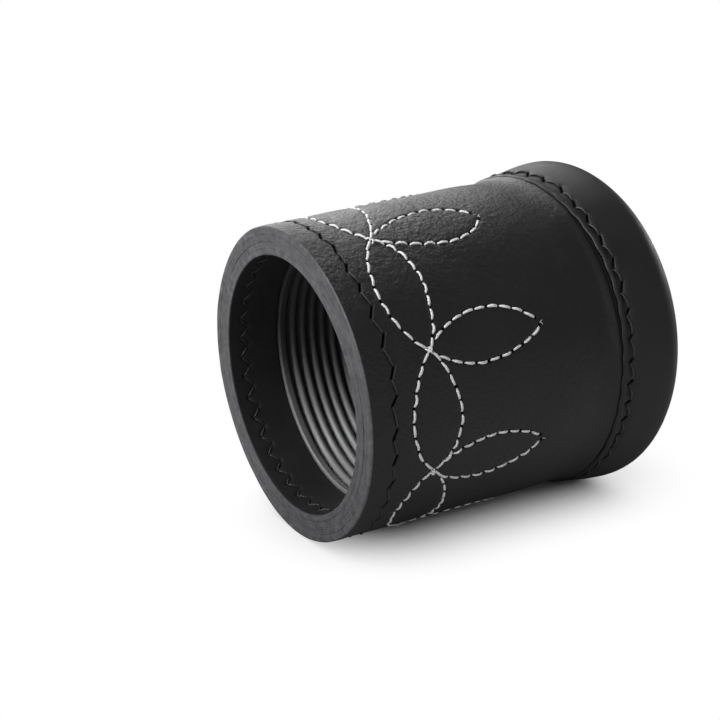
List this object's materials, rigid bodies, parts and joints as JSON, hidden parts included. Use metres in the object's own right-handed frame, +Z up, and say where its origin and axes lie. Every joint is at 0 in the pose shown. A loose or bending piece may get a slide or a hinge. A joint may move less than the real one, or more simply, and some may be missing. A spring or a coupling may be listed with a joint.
{
  "type": "leather dice cup",
  "caption": "Round tapered leather cup with a ribbed lining, a sewn mouth collar and a moulded, rounded base cap, for shaking and throwing dice.",
  "frame": {"origin": "centre of the base cap's flat underside", "axes": "+Z up the cup's axis, from the base to the open mouth; +X is a side of the cup between two petal outlines, with the nearest junction of the stitched chain 8.3 degrees round towards +Y"},
  "size_m": [0.0998, 0.0998, 0.105],
  "materials": {
    "body_leather": "satin",
    "cap_leather": "satin",
    "lining_leather": "smooth",
    "leatherboard": "pressed fibre",
    "ribbed_rubber": "matte",
    "black_thread": "waxed",
    "white_thread": "waxed"
  },
  "bodies": {
    "root": {"outer_leather_wrap": "body_leather", "core_outer_ply": "leatherboard", "core_inner_ply": "leatherboard", "mouth_collar": "lining_leather", "ribbed_liner": "ribbed_rubber", "floor_pad": "ribbed_rubber", "base_board": "leatherboard", "base_cap": "cap_leather", "mouth_seam_outer_thread": "black_thread", "mouth_seam_inner_thread": "black_thread", "cap_seam_outer_thread": "black_thread", "cap_seam_inner_thread": "black_thread", "leaf_chain_thread": "white_thread", "petal_thread": "white_thread"}
  },
  "joints": []
}
